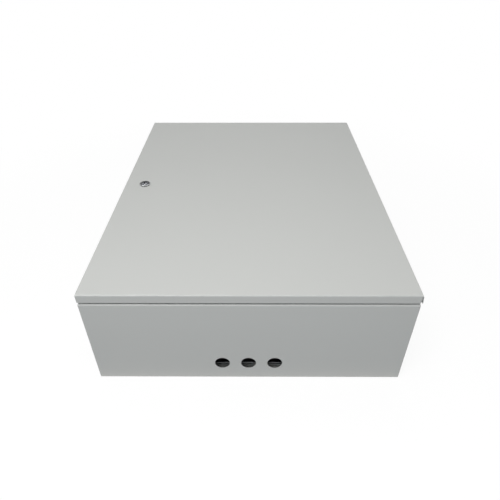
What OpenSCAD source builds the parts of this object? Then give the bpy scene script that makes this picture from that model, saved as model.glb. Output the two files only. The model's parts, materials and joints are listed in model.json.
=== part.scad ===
// Wall-mount utility cabinet of folded sheet steel, modelled lying on its back with the door up.
// The origin is the middle of the back. +X is the hinge side, +Y the top end, +Z faces out of the door.

/* [Cabinet body] */
// Width over the side walls
body_w = 600; // [400:10:800]
// Height over the end walls
body_h = 800; // [600:10:1200]
// Depth from the back to the front fold
body_d = 200; // [140:5:300]
// Sheet thickness of the body
body_t = 1.5; // [1.2:0.1:1.8]
// Outside radius of the body's folds
body_bend = 3; // [2.5:0.1:4]
// Outside radius of the welded corners
body_corner = 2.4; // [2.1:0.1:2.9]

/* [Cable entries and wall holes] */
// Diameter of the three cable holes in the bottom end
cable_d = 29; // [20:0.5:34]
// Distance between neighbouring cable holes
cable_pitch = 51; // [42:1:70]
// Height of the cable holes above the back
cable_z = 45; // [38:1:60]
// Sideways place of the middle cable hole
cable_x = -1; // [-60:0.5:60]
// Diameter of the four holes for the wall bolts
wall_hole_d = 9; // [7:0.5:11]
// Distance of the wall holes from the outside walls
wall_hole_inset = 25; // [20:1:28]

/* [Door] */
// Depth of the door over its flanges
door_d = 17.5; // [14:0.5:22]
// Sheet thickness of the door
door_t = 1.5; // [1.2:0.1:1.8]
// Outside radius of the door's folds
door_bend = 2.6; // [2.2:0.1:3.5]
// Outside radius of the welded corners on the lock side
door_corner = 2.2; // [2:0.1:2.5]
// Gap between the front fold and the door's flanges
door_gap = 4.5; // [3.5:0.5:9]
// Angle by which the hinge-side flange opens past square
door_splay = 6; // [1:0.5:8]
// Width of the open slit at the hinge-side corners
door_slit = 0.8; // [0.5:0.1:2]

/* [Gasket] */
// Width of the foamed gasket
gasket_w = 12; // [9:0.5:14]
// Height of the foamed gasket
gasket_h = 8; // [7:0.25:9]
// Middle radius of the gasket's corners
gasket_corner = 9; // [8:0.5:14]
// Gap between the gasket and the rim of the body
gasket_gap = 0.3; // [0.2:0.05:0.4]

/* [Hinges] */
// Distance of each hinge's middle from the end of the cabinet
hinge_inset = 120; // [90:5:200]
// Length of a hinge over its knuckles
hinge_len = 55; // [45:1:80]
// Length of the door's middle knuckle
knuckle_len = 24; // [14:1:30]
// Diameter of the hinge pin
pin_d = 5; // [4:0.25:6]
// Diameter of the pin's head
pin_head_d = 7.5; // [6.5:0.25:8]
// Thickness of the pin's head
pin_head_h = 1.5; // [1:0.25:2]
// Sheet thickness of the hinge leaves
leaf_t = 2; // [1.5:0.1:2.5]
// Inside radius of the bend at a leaf's foot
leaf_bend = 1; // [0.6:0.1:1.2]
// Room between the knuckles and the door's flange
flange_clear = 1.5; // [1:0.1:3]
// Room between the knuckles and the door's leaf above them
knuckle_clear = 1; // [0.6:0.1:1.5]
// Room between the knuckles and the gasket
seal_clear = 3; // [2:0.1:4]
// Room at each end of the hinge's notch in the door's flange
notch_clear = 6; // [4:0.5:10]
// Height of the notch above the pivot
notch_rise = 2.5; // [2:0.1:3]

/* [Lock] */
// Room between the lock's nut and the gasket
lock_room = 4.5; // [2:0.5:25]
// Place of the lock along the door, from its middle
lock_y = -3; // [-60:1:60]
// Width of the bezel outside the barrel
lock_bezel_lip = 1.5; // [1.2:0.1:5]
// Thickness of the lock's bezel
lock_bezel_h = 1.8; // [1.4:0.1:4]
// Radius of the bezel's outer edge
lock_bezel_edge = 0.7; // [0.4:0.1:1.2]
// Thickness of the seal under the bezel
lock_seal_t = 1.5; // [0.5:0.1:2]
// Diameter of the lock's threaded barrel
lock_barrel_d = 22; // [18:0.25:26]
// Depth of the barrel's two flats
lock_flat = 1; // [0.5:0.1:1.5]
// Wall of the barrel between its flats and the key cup
lock_wall = 2; // [1.2:0.1:2.5]
// Length of the barrel below the door's outer face
lock_barrel_l = 22; // [18:0.5:24]
// Width of the key cup's flared mouth
lock_flare = 1.2; // [1:0.1:2.2]
// Depth of the flared mouth
lock_mouth_h = 2.4; // [1:0.1:3]
// Depth of the key cup below the bezel
lock_cup_h = 10; // [8:0.5:12]
// Wall of the lock's nut at its flats
lock_nut_wall = 2.5; // [2:0.1:4]
// Thickness of the lock's nut
lock_nut_h = 6; // [4:0.5:7]
// Width of the core's shoulder at the bottom of the cup
core_shoulder = 2; // [1:0.1:2.2]
// Thickness of the core's head at the bottom of the cup
core_head_h = 2.5; // [1.5:0.1:4]
// Diameter of the key pin in the cup
key_pin_d = 5; // [4:0.25:6]
// Width over the two key bits
key_bits_w = 9; // [8:0.25:11]
// Thickness of the key bits
key_bits_t = 1.8; // [1:0.1:2.5]
// Depth of the key pin below the bezel
key_pin_drop = 2.2; // [0.8:0.1:4]
// Width of the square that drives the cam
core_square = 8; // [7.5:0.1:8.2]

/* [Lock cam] */
// Sheet thickness of the cam
cam_t = 3; // [2:0.1:4]
// Width of the cam's tongue
cam_w = 16; // [12:0.5:18]
// Diameter of the cam's hub
cam_hub_d = 20; // [18:0.5:24]
// Distance of the cam's tip from the outside wall when it is locked
cam_tip_inset = 10; // [6:0.5:14]
// Room between the cam's tongue and the front fold above it
cam_clear = 1.5; // [0.8:0.1:2.5]
// Length of the cam's joggle
cam_joggle = 5; // [4:0.25:7]

/* [Mounting plate] */
// Gap between the mounting plate and the side walls
plate_side_gap = 25; // [10:1:60]
// Gap between the mounting plate and the end walls
plate_end_gap = 25; // [10:1:60]
// Sheet thickness of the mounting plate
plate_t = 2; // [1.5:0.1:3]
// Depth of the plate's folded edges
plate_edge = 8; // [5:0.5:10]
// Outside radius of the plate's folds
plate_bend = 3.5; // [3.2:0.1:4.5]
// Length of the cut-away corners that leave the wall holes free
plate_notch = 32; // [26:1:40]
// Distance of the studs from the plate's long edges
stud_side = 25; // [18:1:40]
// Distance of the studs from the plate's short edges
stud_end = 55; // [50:1:80]
// Height of the spacers under the plate
spacer_h = 11; // [9:0.5:20]
// Outside diameter of the spacers
spacer_d = 18; // [16:0.5:22]

/* [Studs, nuts and washers] */
// Thread diameter of the plate's studs
stud_d = 8; // [6:0.5:10]
// Length of the plate's studs above the back
stud_len = 28; // [26:1:45]
// Thread diameter of the earth studs
earth_d = 6; // [5:0.5:8]
// Length of the earth studs
earth_len = 18; // [14:1:25]
// Distance of the earth studs from the bottom end
earth_end = 70; // [50:5:200]
// Height of the body's earth stud above the back
earth_z = 70; // [60:1:120]
// Distance of the door's earth stud from the hinge-side edge
earth_side = 70; // [50:1:120]
// Thread diameter of the cam's screw
screw_d = 6; // [5:0.25:6.5]
// Depth of the cam's screw in the core
screw_len = 12; // [8:0.5:14]

/* [Hidden] */
$fn = 64;

// Cuts run this far past a face
over = 1;
// Free play of a pin or a thread in its hole, on the radius
play = 0.05;
// Free gap between pieces that turn or slide past each other
slip = 0.3;

// The door's levels
door_low = body_d + door_gap;
door_face = door_low + door_d;
door_inside = door_face - door_t;
// Where the hinge-side flange leaves its fold, and how far out it has gone at a given level
splay_start = [body_w / 2 - door_bend, door_face - door_bend];
function splay_x(radius, z) = let (
    touch = splay_start + radius * [cos(door_splay), sin(door_splay)]
) touch.x + (touch.y - z) * tan(door_splay);

// The hinge's pivot, inside the door's hinge-side flange
knuckle_r = pin_d / 2 + play + leaf_t;
pivot_x = body_w / 2 - door_t - flange_clear - knuckle_r;
pivot_z = door_inside - leaf_t - knuckle_clear - knuckle_r;
hinge_y = body_h / 2 - hinge_inset;

// The body's rim, under the middle of the gasket
gasket_x = pivot_x - knuckle_r - seal_clear - gasket_w / 2;
rim_x = gasket_x + body_t / 2;
rim_y = body_h / 2 - (body_w / 2 - rim_x);
rim_top = door_inside - gasket_h - gasket_gap;
// Inside radius of the body's folds
fold_in = body_bend - body_t;

// The plate's size, its top and its studs
plate_w = body_w - 2 * plate_side_gap;
plate_h = body_h - 2 * plate_end_gap;
plate_top = body_t + spacer_h + plate_t;
stud_x = plate_w / 2 - stud_side;
stud_y = plate_h / 2 - stud_end;

// The lock's diameters, from its barrel
lock_bezel_d = lock_barrel_d + 2 * lock_bezel_lip;
lock_flats_w = lock_barrel_d - 2 * lock_flat;
lock_cup_d = lock_flats_w - 2 * lock_wall;
lock_mouth_d = lock_cup_d + 2 * lock_flare;
lock_nut_af = lock_barrel_d + 2 * lock_nut_wall;
core_d = lock_cup_d - 2 * core_shoulder;

// The lock's place, just inside the gasket, and its levels
lock_x = lock_nut_af / sqrt(3) + lock_room + gasket_w / 2 - gasket_x;
bezel_low = door_face + lock_seal_t;
bezel_top = bezel_low + lock_bezel_h;
cup_floor = bezel_top - lock_cup_h;
barrel_end = door_face - lock_barrel_l;
hub_top = barrel_end - slip;
hub_low = hub_top - cam_t;
tongue_top = body_d - body_t - cam_clear;
cam_len = lock_x + body_w / 2 - cam_tip_inset;

// Sizes of standard washers, nuts and bolt heads from their thread
function washer_r(d) = d;
function washer_t(d) = d / 5;
function nut_af(d) = d * 5 / 3;
function nut_h(d) = d * 0.8;
function collar_r(d) = d * 0.7;
function collar_h(d) = d / 6;

paint = "#cbd0cc";
zinc = "#b9bcb8";
foam = "#2b2c2d";
chrome = "#d5d8da";
steel = "#9b9ea0";

// A rectangle with round corners
module round_rect(w, h, r) {
    square([w - 2 * r, h], center = true);
    square([w, h - 2 * r], center = true);
    for (x = [-1, 1], y = [-1, 1]) {
        translate([x * (w / 2 - r), y * (h / 2 - r)]) circle(r);
    }
}

// The end view of a folded tray: flat below, with round folds at the top
module tray_outline(w, d, r) {
    translate([-w / 2, 0]) square([w, d - r]);
    translate([r - w / 2, 0]) square([w - 2 * r, d]);
    for (x = [-1, 1]) translate([x * (w / 2 - r), d - r]) circle(r);
}

// Shapes drawn in the X-Z plane, run along Y, and in the Y-Z plane, run along X
module along_y(len) { rotate([90, 0, 0]) linear_extrude(len, center = true) children(); }
module along_x(len) { rotate([90, 0, 90]) linear_extrude(len, center = true) children(); }

// A box of folded sheet, with folds on the back and front edges and welded corners
module folded_box(w, h, d, fold_r, corner_r) {
    intersection() {
        along_y(h) translate([0, d / 2]) round_rect(w, d, fold_r);
        along_x(w) translate([0, d / 2]) round_rect(h, d, fold_r);
        linear_extrude(d) round_rect(w, h, corner_r);
    }
}

// The end view of the rim, whose foot sweeps out into the gutter's floor by radius r
module rim_outline(half, foot, r, low, top) {
    difference() {
        translate([-half - r, low]) square([2 * (half + r), top - low]);
        for (x = [-1, 1]) {
            translate([x * (half + r), foot + r]) circle(r);
            translate([x * (half + r) - r, foot + r]) square([2 * r, top - foot]);
        }
    }
}

// The rim stands up from the gutter all round, with mitred corners
module rim_block(inset, foot, r, low, top) {
    intersection() {
        along_y(body_h) rim_outline(rim_x - inset, foot, r, low, top);
        along_x(body_w) rim_outline(rim_y - inset, foot, r, low, top);
    }
}

module enclosure_body() {
    color(paint) difference() {
        union() {
            folded_box(body_w, body_h, body_d, body_bend, body_corner);
            rim_block(0, body_d, fold_in, body_d - body_t, rim_top);
        }
        translate([0, 0, body_t]) folded_box(
            body_w - 2 * body_t, body_h - 2 * body_t, body_d - 2 * body_t,
            fold_in, body_corner - body_t
        );
        rim_block(body_t, body_d - body_t, body_bend, body_d - body_t - over, rim_top + over);
        for (i = [-1:1]) translate([cable_x + i * cable_pitch, -body_h / 2, cable_z]) {
            rotate([90, 0, 0]) cylinder(2 * (body_t + over), d = cable_d, center = true);
        }
        for (x = [-1, 1], y = [-1, 1]) {
            translate([x * (body_w / 2 - wall_hole_inset), y * (body_h / 2 - wall_hole_inset), -over])
                cylinder(body_t + 2 * over, d = wall_hole_d);
        }
    }
}

// Four copies, one at each of the plate's studs
module at_studs(z) {
    for (x = [-1, 1], y = [-1, 1]) translate([x * stud_x, y * stud_y, z]) children();
}

// The plate's outside, or with an inset its underside, folded down on all four edges
module plate_block(inset, low) {
    w = plate_w - 2 * inset;
    h = plate_h - 2 * inset;
    d = plate_top - inset - low;
    translate([0, 0, low]) intersection() {
        along_y(h) tray_outline(w, d, plate_bend - inset);
        along_x(w) tray_outline(h, d, plate_bend - inset);
    }
}

module mounting_plate() {
    color(zinc) difference() {
        plate_block(0, plate_top - plate_edge);
        plate_block(plate_t, plate_top - plate_edge - over);
        for (x = [-1, 1], y = [-1, 1]) translate([x * plate_w / 2, y * plate_h / 2, plate_top - plate_edge]) {
            cube([2 * plate_notch, 2 * plate_notch, 2 * plate_edge + over], center = true);
        }
        at_studs(plate_top - plate_t - over) cylinder(plate_t + 2 * over, r = stud_d / 2 + slip);
    }
}

// A threaded stud on its weld collar, standing on the X-Y plane
module weld_stud(d, len) {
    tip = d / 10;
    rotate_extrude() polygon([
        [0, 0], [collar_r(d), 0], [collar_r(d), collar_h(d)], [d / 2, collar_h(d)],
        [d / 2, len - tip], [d / 2 - tip, len], [0, len],
    ]);
}

module flat_washer(d) {
    difference() {
        cylinder(washer_t(d), r = washer_r(d));
        translate([0, 0, -over]) cylinder(washer_t(d) + 2 * over, r = d / 2 + slip);
    }
}

// A hexagon with its corners turned off at the top, as on a nut or a bolt head
module hex_blank(af, h) {
    corner = af / sqrt(3);
    turned = corner - af / 2;
    intersection() {
        cylinder(h, r = corner, $fn = 6);
        rotate_extrude() polygon([
            [0, 0], [corner, 0], [corner, h - turned / 2], [af / 2, h], [0, h],
        ]);
    }
}

module hex_nut(d, af, h) {
    difference() {
        hex_blank(af, h);
        translate([0, 0, -over]) cylinder(h + 2 * over, r = d / 2 + play);
    }
}

module plate_studs() {
    color(steel) at_studs(body_t) weld_stud(stud_d, stud_len);
}

module plate_spacers() {
    color(steel) at_studs(body_t) difference() {
        cylinder(spacer_h, d = spacer_d);
        translate([0, 0, -over]) cylinder(spacer_h + 2 * over, r = collar_r(stud_d) + slip);
    }
}

module plate_washers() {
    color(steel) at_studs(plate_top) flat_washer(stud_d);
}

module plate_nuts() {
    color(steel) at_studs(plate_top + washer_t(stud_d)) hex_nut(stud_d, nut_af(stud_d), nut_h(stud_d));
}

// A leaf of bent sheet in end view: the knuckle round the pivot, an arm up from it and a foot
// The foot turns away from the knuckle, or over it
module leaf_outline(arm, foot, over_knuckle) {
    bend_out = leaf_bend + leaf_t;
    bend_x = (over_knuckle ? bend_out : leaf_t - bend_out) - knuckle_r;
    difference() {
        union() {
            circle(knuckle_r);
            translate([-knuckle_r, 0]) square([leaf_t, arm - bend_out]);
            translate([bend_x, arm - bend_out]) mirror([over_knuckle ? 0 : 1, 0]) {
                intersection() {
                    difference() {
                        circle(bend_out);
                        circle(leaf_bend);
                    }
                    translate([-bend_out, 0]) square(bend_out);
                }
                translate([0, leaf_bend]) square([foot, leaf_t]);
            }
        }
        circle(knuckle_r - leaf_t);
    }
}

// The body's leaf stands in the gutter, and its foot ends just clear of the rim's own fold
module hinge_bracket() {
    foot = pivot_x - knuckle_r - leaf_bend - (rim_x + fold_in + slip);
    room = knuckle_r + knuckle_clear;
    translate([pivot_x, 0, pivot_z]) difference() {
        along_y(hinge_len) mirror([0, 1]) leaf_outline(pivot_z - body_d, foot, false);
        cube([2 * room, knuckle_len + 2 * slip, 2 * room], center = true);
    }
}

// The door's leaf turns its foot towards the flange, and the foot runs the hinge's whole length
module hinge_leaf() {
    arm = door_inside - pivot_z;
    bend_x = leaf_t + leaf_bend - knuckle_r;
    foot = splay_start.x - slip - (pivot_x + bend_x);
    translate([pivot_x, 0, pivot_z]) {
        along_y(knuckle_len) leaf_outline(arm, foot, true);
        translate([bend_x, -hinge_len / 2, arm - leaf_t]) cube([foot, hinge_len, leaf_t]);
    }
}

module hinge_pin() {
    translate([pivot_x, hinge_len / 2 + pin_head_h, pivot_z]) rotate([90, 0, 0]) {
        cylinder(hinge_len + pin_head_h, d = pin_d);
        cylinder(pin_head_h, d = pin_head_d);
    }
}

module hinge_bracket_upper() { color(paint) translate([0, hinge_y, 0]) hinge_bracket(); }
module hinge_bracket_lower() { color(paint) translate([0, -hinge_y, 0]) hinge_bracket(); }
module hinge_leaf_upper() { color(paint) translate([0, hinge_y, 0]) hinge_leaf(); }
module hinge_leaf_lower() { color(paint) translate([0, -hinge_y, 0]) hinge_leaf(); }
module hinge_pin_upper() { color(steel) translate([0, hinge_y, 0]) hinge_pin(); }
module hinge_pin_lower() { color(steel) translate([0, -hinge_y, 0]) hinge_pin(); }

// The body's earth stud stands on the inside of the hinge-side wall
module at_body_earth(rise) {
    translate([body_w / 2 - body_t - rise, earth_end - body_h / 2, earth_z]) rotate([0, -90, 0]) children();
}

// The door's earth stud hangs from the inside of the door
module at_door_earth(drop) {
    translate([body_w / 2 - earth_side, earth_end - body_h / 2, door_inside - drop])
        rotate([180, 0, 0]) children();
}

module body_earth_stud() { color(steel) at_body_earth(0) weld_stud(earth_d, earth_len); }
module body_earth_washer() { color(steel) at_body_earth(collar_h(earth_d)) flat_washer(earth_d); }
module body_earth_nut() {
    color(steel) at_body_earth(collar_h(earth_d) + washer_t(earth_d))
        hex_nut(earth_d, nut_af(earth_d), nut_h(earth_d));
}

module door_earth_stud() { color(steel) at_door_earth(0) weld_stud(earth_d, earth_len); }
module door_earth_washer() { color(steel) at_door_earth(collar_h(earth_d)) flat_washer(earth_d); }
module door_earth_nut() {
    color(steel) at_door_earth(collar_h(earth_d) + washer_t(earth_d))
        hex_nut(earth_d, nut_af(earth_d), nut_h(earth_d));
}

// The door in end view, with the hinge-side flange opened past square
module door_outline(inset, low) {
    r = door_bend - inset;
    left = body_w / 2 - door_bend;
    touch = splay_start + r * [cos(door_splay), sin(door_splay)];
    polygon([
        [-left - r, low], [splay_x(r, low), low], touch,
        [splay_start.x, splay_start.y + r], [-left, splay_start.y + r], [-left - r, splay_start.y],
    ]);
    for (x = [-left, left]) translate([x, splay_start.y]) circle(r);
}

// The door's plan, with round corners on the lock side only
module door_plan() {
    right = body_w / 2 + door_d;
    translate([door_corner - body_w / 2, -body_h / 2]) square([right + body_w / 2 - door_corner, body_h]);
    translate([-body_w / 2, door_corner - body_h / 2]) square([door_corner, body_h - 2 * door_corner]);
    for (y = [-1, 1]) translate([door_corner - body_w / 2, y * (body_h / 2 - door_corner)]) circle(door_corner);
}

// One wall of the tray: the door's outside, or with an inset its inside
module door_block(inset, low) {
    intersection() {
        along_y(body_h - 2 * inset) door_outline(inset, low);
        along_x(2 * body_w) translate([0, low]) tray_outline(
            body_h - 2 * inset, door_face - inset - low, door_bend - inset
        );
        translate([0, 0, low]) linear_extrude(door_face - low) door_plan();
    }
}

// The barrel's hole or outline, with two flats that stop the lock turning
module barrel_plan(gap) {
    intersection() {
        circle(lock_barrel_d / 2 + gap);
        square([lock_flats_w + 2 * gap, lock_barrel_d + 2 * gap], center = true);
    }
}

module door_panel() {
    slit_x = body_w / 2 - door_t - door_slit;
    slit_top = door_face - door_bend - slip;
    notch_low = door_low - over;
    // The slit is cut just into the hinge-side flange's inner face
    function slit_end(z) = splay_x(door_bend - door_t, z) + slip;
    color(paint) difference() {
        door_block(0, door_low);
        door_block(door_t, door_low - over);
        translate([lock_x, lock_y, door_inside - over]) linear_extrude(door_t + 2 * over) barrel_plan(slip);
        for (y = [-1, 1]) {
            translate([0, y * body_h / 2, 0]) along_y(2 * (door_t + slip)) polygon([
                [slit_x, notch_low], [slit_end(notch_low), notch_low],
                [slit_end(slit_top), slit_top], [slit_x, slit_top],
            ]);
            translate([slit_x, y * hinge_y - hinge_len / 2 - notch_clear, notch_low])
                cube([door_d, hinge_len + 2 * notch_clear, pivot_z + notch_rise - notch_low]);
        }
    }
}

// A bead of foam in end view, hanging from the door's inside
module gasket_outline() {
    r = (pow(gasket_w / 2, 2) + pow(gasket_h, 2)) / (2 * gasket_h);
    intersection() {
        translate([0, r - gasket_h]) circle(r);
        translate([-gasket_w, -2 * gasket_h]) square([2 * gasket_w, 2 * gasket_h]);
    }
}

module door_gasket() {
    half_x = gasket_x - gasket_corner;
    half_y = rim_y - body_t / 2 - gasket_corner;
    color(foam) translate([0, 0, door_inside]) {
        for (x = [-1, 1]) {
            translate([x * gasket_x, 0, 0]) along_y(2 * half_y) gasket_outline();
            translate([0, x * (half_y + gasket_corner), 0]) along_x(2 * half_x) gasket_outline();
        }
        for (i = [0:3]) {
            sx = i == 0 || i == 3 ? 1 : -1;
            sy = i < 2 ? 1 : -1;
            translate([sx * half_x, sy * half_y, 0]) rotate(90 * i) rotate_extrude(angle = 90)
                translate([gasket_corner, 0]) gasket_outline();
        }
    }
}

module at_lock(z) { translate([lock_x, lock_y, z]) children(); }

// A chromed bezel with a flared cup on a barrel with two flats
module lock_housing() {
    bezel_r = lock_bezel_d / 2;
    color(chrome) difference() {
        union() {
            at_lock(0) rotate_extrude() {
                translate([bezel_r - lock_bezel_edge, bezel_top - lock_bezel_edge]) intersection() {
                    circle(lock_bezel_edge);
                    square(lock_bezel_edge);
                }
                polygon([
                    [0, bezel_low], [bezel_r, bezel_low], [bezel_r, bezel_top - lock_bezel_edge],
                    [bezel_r - lock_bezel_edge, bezel_top], [0, bezel_top],
                ]);
            }
            at_lock(barrel_end) linear_extrude(bezel_low - barrel_end) barrel_plan(0);
        }
        at_lock(0) rotate_extrude() polygon([
            [0, barrel_end - over], [core_d / 2 + play, barrel_end - over], [core_d / 2 + play, cup_floor],
            [lock_cup_d / 2, cup_floor], [lock_cup_d / 2, bezel_top - lock_mouth_h],
            [lock_mouth_d / 2, bezel_top], [lock_mouth_d / 2, bezel_top + over], [0, bezel_top + over],
        ]);
    }
}

module lock_seal() {
    color(foam) at_lock(door_face) difference() {
        cylinder(lock_seal_t, r = lock_bezel_d / 2 - slip);
        translate([0, 0, -over]) cylinder(lock_seal_t + 2 * over, r = lock_barrel_d / 2 + slip);
    }
}

module lock_nut() {
    color(zinc) at_lock(door_inside) rotate([180, 0, 0]) hex_nut(lock_barrel_d, lock_nut_af, lock_nut_h);
}

// The turning core: a key pin with two bits, a head in the cup, a shaft and a square for the cam
module lock_core() {
    head_low = cup_floor + slip;
    pin_top = bezel_top - key_pin_drop;
    tip = key_pin_d / 8;
    color(steel) at_lock(0) difference() {
        union() {
            rotate_extrude() polygon([
                [0, hub_top], [core_d / 2, hub_top], [core_d / 2, head_low], [lock_cup_d / 2 - slip, head_low],
                [lock_cup_d / 2 - slip, head_low + core_head_h], [key_pin_d / 2, head_low + core_head_h],
                [key_pin_d / 2, pin_top - tip], [key_pin_d / 2 - tip, pin_top], [0, pin_top],
            ]);
            translate([-key_bits_t / 2, -key_bits_w / 2, head_low])
                cube([key_bits_t, key_bits_w, pin_top - tip - head_low]);
            translate([-core_square / 2, -core_square / 2, hub_low + slip])
                cube([core_square, core_square, cam_t]);
        }
        translate([0, 0, hub_low]) cylinder(screw_len + over, r = screw_d / 2 + play);
    }
}

// The cam points along the door at rest and turns under the lock-side gutter when it locks
module lock_cam() {
    hub_r = cam_hub_d / 2;
    tongue_low = tongue_top - cam_t;
    slope_end = hub_r + cam_joggle;
    shift = cam_t * tan(atan2(hub_low - tongue_low, cam_joggle) / 2);
    lead = cam_t / 2;
    color(zinc) at_lock(0) difference() {
        intersection() {
            along_x(cam_hub_d) polygon([
                [-hub_r, hub_low], [hub_r, hub_low], [slope_end, tongue_low], [cam_len, tongue_low],
                [cam_len, tongue_top - lead], [cam_len - 2 * lead, tongue_top],
                [slope_end + shift, tongue_top], [hub_r + shift, hub_top], [-hub_r, hub_top],
            ]);
            translate([0, 0, tongue_low]) linear_extrude(body_d) {
                circle(hub_r);
                translate([-cam_w / 2, 0]) square([cam_w, cam_len - cam_w / 2]);
                translate([0, cam_len - cam_w / 2]) circle(cam_w / 2);
            }
        }
        translate([0, 0, hub_low]) cube(
            [core_square + 2 * play, core_square + 2 * play, 2 * (cam_t + over)], center = true
        );
    }
}

module cam_washer() {
    color(zinc) at_lock(hub_low) rotate([180, 0, 0]) flat_washer(screw_d);
}

module cam_screw() {
    seat = hub_low - washer_t(screw_d);
    color(zinc) at_lock(seat) {
        rotate([180, 0, 0]) hex_blank(nut_af(screw_d), nut_h(screw_d));
        cylinder(screw_len + washer_t(screw_d), d = screw_d);
    }
}

enclosure_body();
mounting_plate();
plate_studs();
plate_spacers();
plate_washers();
plate_nuts();
hinge_bracket_upper();
hinge_bracket_lower();
hinge_pin_upper();
hinge_pin_lower();
body_earth_stud();
body_earth_washer();
body_earth_nut();
door_panel();
door_gasket();
hinge_leaf_upper();
hinge_leaf_lower();
door_earth_stud();
door_earth_washer();
door_earth_nut();
lock_housing();
lock_seal();
lock_nut();
lock_core();
lock_cam();
cam_washer();
cam_screw();
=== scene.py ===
import json
import math

import bpy
from mathutils import Matrix, Vector, noise


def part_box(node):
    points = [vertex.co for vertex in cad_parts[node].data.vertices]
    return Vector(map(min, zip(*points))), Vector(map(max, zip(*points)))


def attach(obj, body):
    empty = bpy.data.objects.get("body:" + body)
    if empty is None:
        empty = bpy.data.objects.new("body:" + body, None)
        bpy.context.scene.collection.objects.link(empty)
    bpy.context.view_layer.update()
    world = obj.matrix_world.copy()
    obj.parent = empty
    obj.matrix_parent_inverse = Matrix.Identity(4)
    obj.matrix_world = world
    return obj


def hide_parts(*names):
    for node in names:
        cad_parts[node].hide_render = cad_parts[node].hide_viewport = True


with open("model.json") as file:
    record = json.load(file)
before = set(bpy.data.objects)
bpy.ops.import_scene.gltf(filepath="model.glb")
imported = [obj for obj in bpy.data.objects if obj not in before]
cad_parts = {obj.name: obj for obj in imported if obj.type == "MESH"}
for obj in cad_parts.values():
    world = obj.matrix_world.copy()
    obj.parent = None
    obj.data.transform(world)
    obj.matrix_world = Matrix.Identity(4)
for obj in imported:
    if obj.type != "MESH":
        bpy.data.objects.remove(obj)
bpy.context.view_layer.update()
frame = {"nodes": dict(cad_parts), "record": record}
nodes = frame["nodes"]
scene = bpy.context.scene
scene.view_settings.view_transform = "Standard"
noise.seed_set(7)       # the same wander on every run
print("cabinet loaded:", len(nodes), "nodes")


# an operator on wires adds one Math node
def wireMaths(operation, reflected=False):
    def apply(self, other):
        first, second = (other, self) if reflected else (self, other)
        return self.add("ShaderNodeMath", {"operation": operation}, {0: first, 1: second})
    return apply


# one output socket of a node tree, and the nodes that can follow it
class Wire:
    def __init__(self, socket):
        self.socket = socket
        self.tree = socket.id_data

    def add(self, kind, settings, sockets, output=0):
        made = self.tree.nodes.new(kind)
        for name, value in settings.items():
            if name == "stops":
                for stop, (place, grey) in zip(made.color_ramp.elements, value):
                    stop.position = place
                    stop.color = (grey, grey, grey, 1)
            else:
                setattr(made, name, value)
        for name, value in sockets.items():
            if isinstance(value, Wire):
                self.tree.links.new(value.socket, made.inputs[name])
            else:
                made.inputs[name].default_value = value
        return Wire(made.outputs[output])

    __add__ = wireMaths("ADD")
    __radd__ = wireMaths("ADD", True)
    __sub__ = wireMaths("SUBTRACT")
    __rsub__ = wireMaths("SUBTRACT", True)
    __mul__ = wireMaths("MULTIPLY")
    __rmul__ = wireMaths("MULTIPLY", True)
    __truediv__ = wireMaths("DIVIDE")
    __rtruediv__ = wireMaths("DIVIDE", True)
    larger = wireMaths("MAXIMUM")
    below = wireMaths("LESS_THAN")

    def vectors(self, operation, *others, output=0):
        sockets = dict(enumerate((self, *others)))
        return self.add("ShaderNodeVectorMath", {"operation": operation}, sockets, output)

    # patterns by the size of their features in metres
    def noise(self, size, detail=2, output="Fac"):
        sockets = {"Vector": self, "Scale": 1 / size, "Detail": detail}
        return self.add("ShaderNodeTexNoise", {}, sockets, output)

    def cells(self, size, output="Distance"):
        return self.add("ShaderNodeTexVoronoi", {}, {"Vector": self, "Scale": 1 / size}, output)

    def stretched(self, scale):
        return self.add("ShaderNodeMapping", {}, {"Vector": self, "Scale": scale})

    def shifted(self, by, amount):
        return by.vectors("MULTIPLY_ADD", (amount,) * 3, self)

    def ramp(self, stops):
        return self.add("ShaderNodeValToRGB", {"stops": stops}, {"Fac": self})

    def channel(self, name):
        return self.add("ShaderNodeSeparateColor", {}, {"Color": self}, name)

    # from low where the wire is 0 to high where it is 1
    def spread(self, low, high):
        return low + self * (high - low)

    def mixed(self, other, share):
        return self * (1 - share) + other * share

    def between(self, first, second):
        first = first if isinstance(first, Wire) else (*first, 1)
        second = second if isinstance(second, Wire) else (*second, 1)
        return self.add("ShaderNodeMix", {"data_type": "RGBA"}, {0: self, 6: first, 7: second}, 2)

    # from a darker to a lighter tone of one colour
    def shades(self, colour, tones):
        return self.between(*([channel * tone for channel in colour] for tone in tones))

    def bump(self, depth):
        return self.add("ShaderNodeBump", {}, {"Height": self, "Distance": depth})


# a material, its object coordinates, and a function that links wires to its shader
def newMaterial(name, **constants):
    material = bpy.data.materials.new(name)
    material.use_nodes = True
    tree = material.node_tree
    shader = tree.nodes["Principled BSDF"]
    for socket, value in constants.items():
        shader.inputs[socket.replace("_", " ")].default_value = value
    coords = Wire(tree.nodes.new("ShaderNodeTexCoord").outputs["Object"])

    def feed(**wires):
        for socket, wire in wires.items():
            tree.links.new(wire.socket, shader.inputs[socket.replace("_", " ")])

    return material, coords, feed


powderCoat = {
    "colour": (0.614, 0.624, 0.608),
    "tones": (0.988, 1.012),        # how far the colour wanders over the sheet
    "driftSize": 0.20,
    "grainSize": 0.0004,
    "grainShare": 0.3,
    "roughness": (0.43, 0.49),
    "peelSize": 0.0022,             # orange peel
    "peelDepth": 0.000006,
    "peelGrain": 0.12,
    "bareSteel": (0.33, 0.325, 0.32),
    "edgeReach": 1.005,             # bare as far as this share of a hole's radius
    "edgeDepth": 0.96,              # square of the bare share of the sheet's thickness
}


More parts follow.
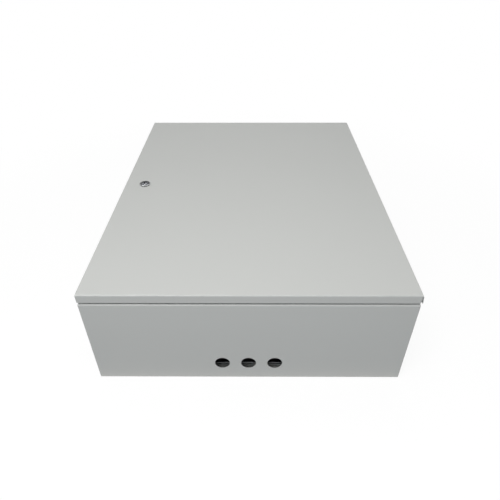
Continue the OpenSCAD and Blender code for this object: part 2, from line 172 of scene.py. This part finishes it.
# 1 on the bare edges of the cable holes, which were punched through the painted sheet
def punchedEdges(coords):
    flat = coords.vectors("MULTIPLY", (1, 0, 1))
    through = coords.channel("Green")
    edges = 0
    for mount in frame["record"]["mounts"]:
        if mount["name"].startswith("cable_entry"):
            x, y, z = mount["pos_m"]
            radius = mount["dims"]["r_mm"] / 1000
            halfSheet = mount["dims"]["length_mm"] / 2000
            depth = (through - y) / halfSheet
            inSheet = (depth * depth).below(powderCoat["edgeDepth"])
            reach = flat.vectors("DISTANCE", (x, 0, z), output="Value")
            edges = edges + reach.below(radius * powderCoat["edgeReach"]) * inSheet
    return edges


def cabinetPaint():
    look = powderCoat
    material, coords, feed = newMaterial("cabinetPaint", Specular_IOR_Level=0.4)
    wander = coords.noise(look["driftSize"], detail=3)
    grain = coords.noise(look["grainSize"], detail=1)
    peel = coords.noise(look["peelSize"], detail=1.5)
    paint = wander.mixed(grain, look["grainShare"]).shades(look["colour"], look["tones"])
    edges = punchedEdges(coords)
    feed(
        Base_Color=edges.between(paint, look["bareSteel"]),
        Metallic=edges,
        Roughness=wander.spread(*look["roughness"]),
        Normal=(peel + grain * look["peelGrain"]).bump(look["peelDepth"]),
    )
    return material


spangledZinc = {
    "dull": (0.46, 0.48, 0.495),
    "bright": (0.66, 0.68, 0.69),
    "spangleSize": 0.012,
    "spangleStep": 0.5,             # its height beside the grain's
    "raggedSize": 0.006,            # the spangle's edges wander
    "raggedReach": 0.004,
    "roughness": (0.29, 0.44),
    "grainSize": 0.0009,
    "grainShare": 0.2,
    "grainDepth": 0.000006,
}


def platedSheet():
    look = spangledZinc
    material, coords, feed = newMaterial("platedSheet", Metallic=1.0)
    ragged = coords.shifted(coords.noise(look["raggedSize"], output="Color"), look["raggedReach"])
    spangle = ragged.cells(look["spangleSize"], "Color")
    tone = spangle.channel("Red")
    grain = coords.noise(look["grainSize"])
    feed(
        Base_Color=tone.mixed(grain, look["grainShare"]).between(look["dull"], look["bright"]),
        Roughness=spangle.channel("Green").spread(*look["roughness"]),
        Normal=(grain + tone * look["spangleStep"]).bump(look["grainDepth"]),
    )
    return material


zincPlating = {
    "pale": (0.63, 0.645, 0.66),
    "warm": (0.57, 0.56, 0.53),     # faint chromate tint in patches
    "patchSize": 0.006,
    "patchStops": ((0.35, 0), (0.75, 1)),
    "roughness": (0.24, 0.34),
    "scratchSize": 0.0005,
    "scratchStretch": (1, 1, 0.15),
    "scratchRoughness": 0.06,
    "scratchDepth": 0.000004,
}


def platedSteel():
    look = zincPlating
    material, coords, feed = newMaterial("platedSteel", Metallic=1.0)
    patch = coords.noise(look["patchSize"], detail=3)
    scratch = coords.stretched(look["scratchStretch"]).noise(look["scratchSize"])
    feed(
        Base_Color=patch.ramp(look["patchStops"]).between(look["pale"], look["warm"]),
        Roughness=patch.spread(*look["roughness"]) + scratch * look["scratchRoughness"],
        Normal=scratch.bump(look["scratchDepth"]),
    )
    return material


closedFoam = {
    "skin": (0.030, 0.030, 0.032),
    # the pores' colour is painted darker than the skin: painted shade in the hollows
    "pore": (0.012, 0.012, 0.013),
    "poreSize": 0.0011,
    "poreShare": 0.7,               # shares of the colour
    "swellShare": 0.4,
    "swellSize": 0.004,
    "swellHeight": 0.5,             # beside the pores' height
    "poreDepth": 0.00012,
    "roughness": (0.72, 0.92),
}


def gasketFoam():
    look = closedFoam
    material, coords, feed = newMaterial("gasketFoam", Specular_IOR_Level=0.35)
    pore = coords.cells(look["poreSize"])
    swell = coords.noise(look["swellSize"], detail=3)
    # the colour follows the height, darker in the pores and low places: painted shade
    tone = pore * look["poreShare"] + swell * look["swellShare"]
    feed(
        Base_Color=tone.between(look["pore"], look["skin"]),
        Roughness=swell.spread(*look["roughness"]),
        Normal=(pore + swell * look["swellHeight"]).bump(look["poreDepth"]),
    )
    return material


chromePlate = {
    "colour": (0.76, 0.775, 0.79),
    "tones": (0.96, 1.03),
    "roughness": (0.07, 0.14),
    "smearSize": 0.004,
    "smearStops": ((0.45, 0), (0.8, 1)),
    "smearDepth": 0.000004,
}


def lockChrome():
    look = chromePlate
    material, coords, feed = newMaterial("lockChrome", Metallic=1.0)
    smear = coords.noise(look["smearSize"], detail=4)
    feed(
        Base_Color=smear.shades(look["colour"], look["tones"]),
        Roughness=smear.ramp(look["smearStops"]).spread(*look["roughness"]),
        Normal=smear.bump(look["smearDepth"]),
    )
    return material


castNickel = {
    "colour": (0.44, 0.44, 0.46),
    "tones": (0.9, 1.1),
    "blotchSize": 0.003,
    "roughness": (0.31, 0.41),
    "grainSize": 0.0005,
    "grainDepth": 0.00001,
}


def lockCoreMetal():
    look = castNickel
    material, coords, feed = newMaterial("lockCoreMetal", Metallic=1.0)
    grain = coords.noise(look["grainSize"], detail=3)
    blotch = coords.noise(look["blotchSize"])
    feed(
        Base_Color=blotch.shades(look["colour"], look["tones"]),
        Roughness=grain.spread(*look["roughness"]),
        Normal=grain.bump(look["grainDepth"]),
    )
    return material


finishes = {
    "cabinet_paint": cabinetPaint(),
    "galvanised_plate": platedSheet(),
    "plated_steel": platedSteel(),
    "gasket_foam": gasketFoam(),
    "lock_chrome": lockChrome(),
    "lock_core_metal": lockCoreMetal(),
}

for row in frame["record"]["subparts"]:
    mesh = nodes[row["node"]].data
    mesh.materials.clear()
    mesh.materials.append(finishes[row["material_slot"]])
print("finishes on all CAD nodes")


mergeReach = 0.000002       # points nearer than this are one
cutReach = 0.0000001


# a chain of edges drawn point by point, left in edit mode with all of it selected
def drawChain(name, points):
    bpy.ops.object.select_all(action="DESELECT")
    bpy.ops.mesh.primitive_plane_add(size=0.001, location=points[0])
    piece = bpy.context.object
    piece.name = name
    bpy.ops.object.transform_apply(location=True)
    bpy.ops.object.mode_set(mode="EDIT")
    bpy.ops.mesh.merge(type="CENTER")
    for here, there in zip(points, points[1:]):
        step = Vector(there) - Vector(here)
        bpy.ops.mesh.extrude_vertices_move(TRANSFORM_OT_translate={"value": step})
    bpy.ops.mesh.select_all(action="SELECT")
    return piece


def closeMesh():
    bpy.ops.mesh.select_all(action="SELECT")
    bpy.ops.mesh.remove_doubles(threshold=mergeReach)
    bpy.ops.mesh.normals_make_consistent(inside=False)


# an outline in the X-Z plane, turned all round the Z axis
def lathe(name, outline, steps):
    piece = drawChain(name, [(r, 0, z) for r, z in outline])
    bpy.ops.mesh.spin(steps=steps, angle=2 * math.pi, center=(0, 0, 0), axis=(0, 0, 1))
    closeMesh()
    bpy.ops.object.mode_set(mode="OBJECT")
    return piece


def pick(*pieces):
    bpy.ops.object.select_all(action="DESELECT")
    for piece in pieces:
        piece.select_set(True)
    bpy.context.view_layer.objects.active = pieces[0]


# copies of a piece with their own meshes at (place, rotation), joined into one piece
def joinCopies(piece, places):
    copies = []
    for place, rotation in places:
        copy = piece.copy()
        copy.data = piece.data.copy()
        scene.collection.objects.link(copy)
        copy.location = place
        copy.rotation_euler = rotation
        copies.append(copy)
    name = piece.name
    bpy.data.objects.remove(piece)
    pick(*copies)
    bpy.ops.object.transform_apply(location=True, rotation=True, scale=True)
    if len(copies) > 1:
        bpy.ops.object.join()
    copies[0].name = name
    return copies[0]


# finish, smooth edges up to an angle in degrees, and the body that carries the piece
def settle(piece, body, slot, replaced=(), smooth=40):
    pick(piece)
    piece.data.materials.clear()
    piece.data.materials.append(finishes[slot])
    bpy.ops.object.shade_smooth_by_angle(angle=math.radians(smooth))
    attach(piece, body)
    if replaced:
        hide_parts(*replaced)
    print(piece.name, "done,", len(piece.data.polygons), "faces")


foamBead = {
    "halfWidth": 0.0060,
    "cadHalfWidth": 0.00625,    # of the plain CAD bead
    "drop": 0.0077,             # below the door's inside
    "sideDrop": 0.0016,         # where the bead is widest
    "footInset": 0.0004,        # the foot on the door is narrower
    "arcSteps": 12,
    "cornerRadius": 0.009,
    "cornerSteps": 8,
    "step": 0.010,
    "groove": 0.0006,           # pressed in by the body's rim
    "wander": 0.00022,
    "wanderSize": 0.035,
    "wanderDown": 0.4,          # share of the wander that goes up and down
    "lapPlace": 0.09,           # where the bead's start and end meet, on the bottom side
    "lapReach": 0.006,
    "lapEnd": 3,                # in reaches, past which the lap isn't felt
    "lapSwell": 0.0002,
    "lapDent": 0.8,             # between the two ends, as shares of swell and reach
    "lapDentReach": 0.25,
}


def doorGasket():
    bead = foamBead
    low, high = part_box("door_gasket")
    ringX = high.x - bead["cadHalfWidth"]
    ringY = high.y - bead["cadHalfWidth"]
    top = high.z
    radius = bead["cornerRadius"]
    wide = bead["halfWidth"]
    straightX = ringX - radius
    straightY = ringY - radius
    foot = wide - bead["footInset"]
    outline = [(ringX + foot, -straightY, top)]
    for i in range(bead["arcSteps"] + 1):
        angle = math.pi * i / bead["arcSteps"]
        sink = bead["sideDrop"] + (bead["drop"] - bead["sideDrop"]) * math.sin(angle)
        if i * 2 == bead["arcSteps"]:
            sink -= bead["groove"]
        outline.append((ringX + wide * math.cos(angle), -straightY, top - sink))
    outline.append((ringX - foot, -straightY, top))
    gasket = drawChain("doorGasket", outline + outline[:1])
    bpy.ops.mesh.remove_doubles(threshold=mergeReach)
    runs = [
        ((0, 1, 0), 2 * straightY, (straightX, straightY, 0)),
        ((-1, 0, 0), 2 * straightX, (-straightX, straightY, 0)),
        ((0, -1, 0), 2 * straightY, (-straightX, -straightY, 0)),
        ((1, 0, 0), 2 * straightX, (straightX, -straightY, 0)),
    ]
    for direction, length, corner in runs:
        count = round(length / bead["step"])
        step = Vector(direction) * (length / count)
        for i in range(count):
            bpy.ops.mesh.extrude_region_move(TRANSFORM_OT_translate={"value": step})
        bpy.ops.mesh.spin(
            steps=bead["cornerSteps"], angle=-math.pi / 2, center=corner, axis=(0, 0, 1)
        )
    closeMesh()
    bpy.ops.object.mode_set(mode="OBJECT")
    # the poured bead wanders a little, and swells where its two ends lap
    for vertex in gasket.data.vertices:
        place = vertex.co.copy()
        depth = min(1, (top - place.z) / bead["drop"])
        sway = noise.noise_vector(place / bead["wanderSize"]) * bead["wander"] * depth
        vertex.co += Vector((sway.x, sway.y, sway.z * bead["wanderDown"]))
        along = (place.x - bead["lapPlace"]) / bead["lapReach"]
        if place.y < -straightY and abs(along) < bead["lapEnd"]:
            dent = bead["lapDent"] * math.exp(-(along / bead["lapDentReach"]) ** 2)
            vertex.co.z -= bead["lapSwell"] * (math.exp(-along * along) - dent) * depth
    pick(gasket)
    rounding = gasket.modifiers.new("rounding", "SUBSURF")
    rounding.levels = 1
    rounding.render_levels = 1
    bpy.ops.object.modifier_apply(modifier="rounding")
    settle(gasket, "door", "gasket_foam", ["door_gasket"], smooth=80)


doorGasket()


lockSealRing = {
    "innerRadius": 0.0113,
    "inset": 0.0001,            # pressed out a little less than the CAD ring
    "bulge": 0.00012,
    "profile": ((-1, 0), (0, 0.3), (0.4, 0.5), (0, 0.7), (-1, 1)),  # shares of bulge and thickness
    "steps": 72,
}


def lockSeal():
    ring = lockSealRing
    low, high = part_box("lock_seal")
    middle = (low + high) / 2
    outer = (high.x - low.x) / 2 - ring["inset"]
    inner = ring["innerRadius"]
    thick = high.z - low.z
    outside = [(outer + ring["bulge"] * out, thick * up) for out, up in ring["profile"]]
    outline = [(inner, 0), *outside, (inner, thick), (inner, 0)]
    seal = lathe("lockSeal", outline, ring["steps"])
    seal = joinCopies(seal, [((middle.x, middle.y, low.z), (0, 0, 0))])
    settle(seal, "door", "gasket_foam", ["lock_seal"])


lockSeal()


# cuts away what lies beyond a plane, and closes the cut
def cutOff(place, normal):
    bpy.ops.mesh.select_all(action="SELECT")
    bpy.ops.mesh.bisect(
        plane_co=place, plane_no=normal, threshold=cutReach, use_fill=True, clear_outer=True
    )


threadShape = {
    "crest": (0.38, 0.52),      # shares of the pitch
    "flankEnd": 0.9,
    "steps": 24,
    "spareTurns": 3,
    "shift": 1.02,              # pitches past the end, so that no corner lies on a cut
}


# a thread along Z from low to high: one pitch of its outline wound round the axis and cut off square
def threadRod(name, radius, pitch, depth, low, high):
    shape = threadShape
    root = radius - depth
    crestStart, crestEnd = shape["crest"]
    outline = [(root, 0), (radius, crestStart), (radius, crestEnd), (root, shape["flankEnd"]), (root, 1)]
    rod = drawChain(name, [(r, 0, share * pitch) for r, share in outline])
    turns = math.ceil((high - low) / pitch) + shape["spareTurns"]
    bpy.ops.mesh.screw(steps=shape["steps"], turns=turns, center=(0, 0, 0), axis=(0, 0, 1))
    bpy.ops.mesh.select_all(action="SELECT")
    bpy.ops.mesh.remove_doubles(threshold=mergeReach)
    bpy.ops.transform.translate(value=(0, 0, high + pitch * shape["shift"]))
    cutOff((0, 0, low), (0, 0, -1))
    cutOff((0, 0, high), (0, 0, 1))
    closeMesh()
    bpy.ops.object.mode_set(mode="OBJECT")
    return rod


weldStuds = {
    "plate_studs": {
        "name": "plateStuds", "size": 0.008, "pitch": 0.00125, "length": 0.028, "body": "cabinet",
    },
    "body_earth_stud": {
        "name": "bodyEarthStud", "size": 0.006, "pitch": 0.001, "length": 0.018, "body": "cabinet",
    },
    "door_earth_stud": {
        "name": "doorEarthStud", "size": 0.006, "pitch": 0.001, "length": 0.018, "body": "door",
    },
}

studShape = {
    "collarRadius": 0.7,        # shares of the stud's size
    "collarHeight": 1 / 6,
    "tip": 1 / 10,
    "rounding": 0.2,            # shares of the collar's height
    "threadFoot": 0.5,
    "threadDepth": 0.6,         # share of the pitch
    "innerRing": 0.9,           # on the collar's top, as a share of the stud's radius
    "collarSteps": 36,
}


# a threaded stud with a chamfered tip on its weld collar, standing at the origin
def weldStud(name, size, pitch, length):
    shape = studShape
    radius = size / 2
    collarRadius = size * shape["collarRadius"]
    collarHeight = size * shape["collarHeight"]
    chamferLevel = length - size * shape["tip"]
    foot = collarHeight * shape["threadFoot"]
    rod = threadRod(name, radius, pitch, pitch * shape["threadDepth"], foot, length)
    for vertex in rod.data.vertices:
        allowed = radius - max(0, vertex.co.z - chamferLevel)
        reach = math.hypot(vertex.co.x, vertex.co.y)
        if reach > allowed:
            vertex.co.x *= allowed / reach
            vertex.co.y *= allowed / reach
    rounding = collarHeight * shape["rounding"]
    outline = [
        (0, 0), (collarRadius, 0), (collarRadius, collarHeight - rounding),
        (collarRadius - rounding, collarHeight), (radius * shape["innerRing"], collarHeight),
        (0, collarHeight),
    ]
    collar = lathe(name + "Collar", outline, shape["collarSteps"])
    pick(rod, collar)
    bpy.ops.object.join()
    return rod


def weldStudPlaces(node):
    low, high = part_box(node)
    if node == "plate_studs":
        collarRadius = weldStuds[node]["size"] * studShape["collarRadius"]
        x = high.x - collarRadius
        y = high.y - collarRadius
        return [((i * x, j * y, low.z), (0, 0, 0)) for i in (-1, 1) for j in (-1, 1)]
    middle = (low + high) / 2
    if node == "body_earth_stud":
        return [((high.x, middle.y, middle.z), (0, math.radians(-90), 0))]
    return [((middle.x, middle.y, high.z), (math.radians(180), 0, 0))]


for node, stud in weldStuds.items():
    made = weldStud(stud["name"], stud["size"], stud["pitch"], stud["length"])
    made = joinCopies(made, weldStudPlaces(node))
    settle(made, stud["body"], "plated_steel", [node], smooth=30)


barrelThread = {
    "pitch": 0.0015,
    "crest": 0.0112,
    "depth": 0.0005,
    "flats": 0.0100,
    "bore": 0.0092,
    "boreSides": 48,
    "boreLength": 0.1,
    "clear": 0.0003,            # from the nut, and from the barrel's end
}


# the thread on the lock's barrel, cut away at the two flats
def lockBarrelThread():
    thread = barrelThread
    low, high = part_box("lock_housing")
    middle = (low + high) / 2
    nutLow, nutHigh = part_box("lock_nut")
    bottom = low.z + thread["clear"]
    length = nutLow.z - thread["clear"] - bottom
    rod = threadRod("lockBarrelThread", thread["crest"], thread["pitch"], thread["depth"], 0, length)
    bpy.ops.object.select_all(action="DESELECT")
    bpy.ops.mesh.primitive_cylinder_add(
        vertices=thread["boreSides"], radius=thread["bore"], depth=thread["boreLength"]
    )
    bore = bpy.context.object
    pick(rod)
    cut = rod.modifiers.new("bore", "BOOLEAN")
    cut.operation = "DIFFERENCE"
    cut.object = bore
    bpy.ops.object.modifier_apply(modifier="bore")
    bpy.data.objects.remove(bore)
    bpy.ops.object.mode_set(mode="EDIT")
    for side in (-1, 1):
        cutOff((side * thread["flats"], 0, 0), (side, 0, 0))
    closeMesh()
    bpy.ops.object.mode_set(mode="OBJECT")
    rod = joinCopies(rod, [((middle.x, middle.y, bottom), (0, 0, 0))])
    settle(rod, "door", "lock_chrome", smooth=30)


lockBarrelThread()


weldLook = {
    "ripple": 0.0011,           # length of one ripple
    "rippleCuts": 4,
    "rippleDepth": 0.09,        # share of the bead's radius
    "bow": 0.5,                 # ripples are bowed across the bead
    "sides": 12,
    "taper": 1.6,               # rounded ends, in radii
    "blunt": 0.04,              # square of an end's share of the radius
}


# a bead of weld between two points, with ripples from one end to the other
def weldBead(name, start, end, radius):
    look = weldLook
    start = Vector(start)
    end = Vector(end)
    length = (end - start).length
    bpy.ops.object.select_all(action="DESELECT")
    bpy.ops.mesh.primitive_cylinder_add(vertices=look["sides"], radius=radius, depth=length)
    bead = bpy.context.object
    bead.name = name
    cuts = math.ceil(length / look["ripple"] * look["rippleCuts"])
    bpy.ops.object.mode_set(mode="EDIT")
    bpy.ops.mesh.select_mode(type="EDGE")
    bpy.ops.mesh.select_all(action="DESELECT")
    bpy.ops.object.mode_set(mode="OBJECT")
    for edge in bead.data.edges:
        first, second = (bead.data.vertices[i].co.z for i in edge.vertices)
        edge.select = abs(first - second) > length / 2
    bpy.ops.object.mode_set(mode="EDIT")
    bpy.ops.mesh.subdivide(number_cuts=cuts)
    bpy.ops.mesh.select_mode(type="VERT")
    bpy.ops.object.mode_set(mode="OBJECT")
    for vertex in bead.data.vertices:
        along = vertex.co.z + length / 2
        phase = ((along + vertex.co.y * look["bow"]) / look["ripple"]) % 1
        size = 1 - look["rippleDepth"] * (1 - math.sin(phase * math.pi))
        nearEnd = min(along, length - along) / (radius * look["taper"])
        if nearEnd < 1:
            size *= math.sqrt(max(look["blunt"], 1 - (1 - nearEnd) ** 2))
        vertex.co.x *= size
        vertex.co.y *= size
    bead.rotation_euler = (end - start).to_track_quat("Z", "Y").to_euler()
    bead.location = (start + end) / 2
    pick(bead)
    bpy.ops.object.transform_apply(location=True, rotation=True, scale=True)
    return bead


def joinBeads(name, seams, body):
    beads = [weldBead(name, *seam) for seam in seams]
    pick(*beads)
    bpy.ops.object.join()
    beads[0].name = name
    settle(beads[0], body, "cabinet_paint", smooth=60)


hingeSeams = {
    "footStart": 0.0006,        # along the ends of the bracket's foot, from its inner edge
    "footEnd": 0.0058,
    "footRadius": 0.0014,
    "groove": 0.0073,           # the open groove outside the bracket's bend, from the same edge
    "grooveLift": 0.0002,
    "grooveMargin": 0.009,      # from the bracket's ends to a bead's middle
    "grooveHalf": 0.007,        # half a bead's length
    "grooveRadius": 0.0012,
    "leafStart": 0.0058,        # along the ends of the leaf, from its outer edge
    "leafEnd": 0.0004,
    "leafRadius": 0.0013,
}


def hingeWelds():
    seam = hingeSeams
    onBody = []
    onDoor = []
    for side in ("upper", "lower"):
        low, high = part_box("hinge_bracket_" + side)
        for y in (low.y, high.y):
            start = (low.x + seam["footStart"], y, low.z)
            end = (low.x + seam["footEnd"], y, low.z)
            onBody.append((start, end, seam["footRadius"]))
        x = low.x + seam["groove"]
        z = low.z + seam["grooveLift"]
        for y in (low.y + seam["grooveMargin"], high.y - seam["grooveMargin"]):
            start = (x, y - seam["grooveHalf"], z)
            end = (x, y + seam["grooveHalf"], z)
            onBody.append((start, end, seam["grooveRadius"]))
        low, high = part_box("hinge_leaf_" + side)
        for y in (low.y, high.y):
            start = (high.x - seam["leafStart"], y, high.z)
            end = (high.x - seam["leafEnd"], y, high.z)
            onDoor.append((start, end, seam["leafRadius"]))
    joinBeads("hingeBracketWelds", onBody, "cabinet")
    joinBeads("hingeLeafWelds", onDoor, "door")


hingeWelds()


cornerSeams = {
    "wallInset": 0.0019,        # of a bead's axis from the outside walls
    "wallFoot": 0.005,          # clear of the folds at the back and the front
    "wallTop": 0.195,
    "wallRadius": 0.0012,
    "rimInset": 0.02205,        # in the rim's inner corners
    "rimFoot": 0.2015,
    "rimClear": 0.0004,         # below the rim's edge
    "rimRadius": 0.0009,
}


def cornerWelds():
    seam = cornerSeams
    low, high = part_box("enclosure_body")
    seams = []
    for i in (-1, 1):
        for j in (-1, 1):
            x = i * (high.x - seam["wallInset"])
            y = j * (high.y - seam["wallInset"])
            seams.append(((x, y, seam["wallFoot"]), (x, y, seam["wallTop"]), seam["wallRadius"]))
            x = i * (high.x - seam["rimInset"])
            y = j * (high.y - seam["rimInset"])
            top = high.z - seam["rimClear"]
            seams.append(((x, y, seam["rimFoot"]), (x, y, top), seam["rimRadius"]))
    joinBeads("cornerSeamWelds", seams, "cabinet")


cornerWelds()


viewpoint = {
    "sensor": 36,
    "lens": 32.019,
    "shiftUp": 0.03108,
    "eye": (0.00638, -0.96252, 0.73518),
    "pitch": 38.4774,           # degrees down
    "yaw": 0.409,
    "roll": -0.18,
}

camera = bpy.data.objects.new("camera", bpy.data.cameras.new("camera"))
scene.collection.objects.link(camera)
camera.data.lens = viewpoint["lens"]
camera.data.sensor_width = viewpoint["sensor"]
camera.data.shift_y = viewpoint["shiftUp"]
camera.location = viewpoint["eye"]
aimed = Matrix.Identity(3)
for axis, degrees in (("Z", viewpoint["yaw"]), ("X", 90 - viewpoint["pitch"]), ("Z", viewpoint["roll"])):
    aimed = aimed @ Matrix.Rotation(math.radians(degrees), 3, axis)
camera.rotation_euler = aimed.to_euler()
scene.camera = camera

# the key over the front, one behind, a low one before the end wall, and fills for the other walls
softBoxes = {
    "keyLight": {
        "place": (-0.25, -0.95, 1.45), "aim": (-0.05, -0.25, 0.2), "size": (0.8, 0.8),
        "power": 9.55, "colour": (1.0, 0.988, 0.972),
    },
    "backLight": {
        "place": (0, 0.9, 1.9), "aim": (0, 0, 0.2), "size": (1.2, 1.2),
        "power": 6.2, "colour": (1.0, 0.988, 0.972),
    },
    "frontLight": {
        "place": (0, -1.9, 0.45), "aim": (0, -0.4, 0.12), "size": (0.8, 0.5),
        "power": 4.2, "colour": (0.965, 1.0, 1.05),
    },
    "leftFill": {
        "place": (-1.9, 1.7, 0.22), "aim": (0, 0.15, 0.10), "size": (1.4, 0.4),
        "power": 11.0, "colour": (1.0, 1.0, 1.0),
    },
    "rightFill": {
        "place": (1.9, 1.7, 0.22), "aim": (0, 0.15, 0.10), "size": (1.4, 0.4),
        "power": 11.0, "colour": (1.0, 1.0, 1.0),
    },
}


def hangSoftBox(name, place, aim, size, power, colour):
    lamp = bpy.data.lights.new(name, "AREA")
    lamp.shape = "RECTANGLE"
    lamp.size, lamp.size_y = size
    lamp.energy = power
    lamp.color = colour
    box = bpy.data.objects.new(name, lamp)
    scene.collection.objects.link(box)
    box.location = place
    box.rotation_euler = (Vector(aim) - Vector(place)).to_track_quat("-Z", "Y").to_euler()
    box.visible_camera = False
    box.visible_glossy = False      # reflections show the window card instead


for name, box in softBoxes.items():
    hangSoftBox(name, **box)


# 1 for rays that should see the white background, 0 for those that light the object
def seesWhite(tree):
    path = tree.nodes.new("ShaderNodeLightPath")
    direct, glossy, through = (
        Wire(path.outputs[f"Is {kind} Ray"]) for kind in ("Camera", "Glossy", "Transmission")
    )
    return direct.larger(glossy).larger(through)


skyLight = {
    "horizon": (0.40, 0.428, 0.45),
    "zenith": (0.415, 0.410, 0.402),
}

scene.world = bpy.data.worlds.new("studio")
scene.world.use_nodes = True
worldTree = scene.world.node_tree
upward = Wire(worldTree.nodes.new("ShaderNodeTexCoord").outputs["Generated"]).channel("Blue")
ambient = upward.ramp([(0, 0), (1, 1)]).between(skyLight["horizon"], skyLight["zenith"])
sky = seesWhite(worldTree).between(ambient, (1, 1, 1))
worldTree.links.new(sky.socket, worldTree.nodes["Background"].inputs["Color"])

whiteGround = {
    "side": 30.0,
    "drop": 0.0002,                 # below the cabinet's back
    "footprint": (0.3, 0.4, 0),     # half the cabinet's sides
    "nearTone": (0.59, 0.55, 0.50),     # what the object's own light sees beside it and farther off
    "farTone": (0.12, 0.119, 0.118),
    "toneReach": 0.036,
    "shadowKept": 0.16,             # how much of the shadow the white floor shows
    "openLight": 0.8,               # light on the floor outside the shadow
    "shadowReach": (0.6, 1.2),
}


def whiteFloor():
    look = whiteGround
    material = bpy.data.materials.new("whiteFloor")
    material.use_nodes = True
    tree = material.node_tree
    tree.nodes.remove(tree.nodes["Principled BSDF"])
    white = seesWhite(tree)
    place = Wire(tree.nodes.new("ShaderNodeTexCoord").outputs["Object"])
    # metres from the cabinet's footprint
    outside = place.vectors("ABSOLUTE").vectors("SUBTRACT", look["footprint"])
    beside = outside.channel("Red").larger(outside.channel("Green"))
    beside = (beside / look["toneReach"]).ramp([(0, 0), (1, 1)])
    near, far = look["shadowReach"]
    away = place.vectors("LENGTH", output="Value")
    fade = away.add(
        "ShaderNodeMapRange", {"interpolation_type": "SMOOTHSTEP"},
        {"Value": away, "From Min": near, "From Max": far}
    )
    kept = look["shadowKept"]
    tone = beside.between(look["nearTone"], look["farTone"])
    grey = white.add("ShaderNodeBsdfDiffuse", {}, {"Color": tone})
    shadow = white.add("ShaderNodeBsdfDiffuse", {}, {"Color": (kept, kept, kept, 1)})
    glow = white.add("ShaderNodeEmission", {}, {"Strength": 1 - kept * look["openLight"]})
    blank = white.add("ShaderNodeEmission", {}, {"Strength": 1.0})
    lit = white.add("ShaderNodeAddShader", {}, {0: shadow, 1: glow})
    seen = white.add("ShaderNodeMixShader", {}, {0: fade, 1: lit, 2: blank})
    whole = white.add("ShaderNodeMixShader", {}, {0: white, 1: grey, 2: seen})
    tree.links.new(whole.socket, tree.nodes["Material Output"].inputs["Surface"])
    return material


bpy.ops.object.select_all(action="DESELECT")
bpy.ops.mesh.primitive_plane_add(size=whiteGround["side"], location=(0, 0, -whiteGround["drop"]))
floor = bpy.context.object
floor.name = "floor"
floor.data.materials.append(whiteFloor())

# cards out of the picture, which only reflections show: four dark ones and a window
cards = {
    "back": {"place": (0.1, 1.6, 1.0), "lean": 65, "turn": 0, "size": (3.2, 1.3), "glow": 0.22},
    "front": {"place": (0, -2.2, 1.15), "lean": 90, "turn": 180, "size": (4.6, 1.9), "glow": 0.05},
    "left": {"place": (-2.3, 0.2, 1.15), "lean": 90, "turn": 90, "size": (4.8, 1.9), "glow": 0.05},
    "right": {"place": (2.3, 0.2, 1.15), "lean": 90, "turn": -90, "size": (4.8, 1.9), "glow": 0.15},
    "window": {"place": (-1.3, -1.1, 2.4), "lean": 36, "turn": -44, "size": (1.8, 1.2), "glow": 6.0},
}


def hangCard(name, place, lean, turn, size, glow):
    material = bpy.data.materials.new(name + "Card")
    material.use_nodes = True
    shader = material.node_tree.nodes["Principled BSDF"]
    shader.inputs["Base Color"].default_value = (0, 0, 0, 1)
    shader.inputs["Specular IOR Level"].default_value = 0
    shader.inputs["Emission Color"].default_value = (1, 1, 1, 1)
    shader.inputs["Emission Strength"].default_value = glow
    bpy.ops.object.select_all(action="DESELECT")
    bpy.ops.mesh.primitive_plane_add(size=1, location=place)
    card = bpy.context.object
    card.name = name + "Card"
    card.scale = (*size, 1)
    card.rotation_euler = (math.radians(lean), 0, math.radians(turn))
    card.data.materials.append(material)
    card.visible_camera = False
    card.visible_diffuse = False
    card.visible_shadow = False


for name, card in cards.items():
    hangCard(name, **card)
print("camera, light, floor and cards set")
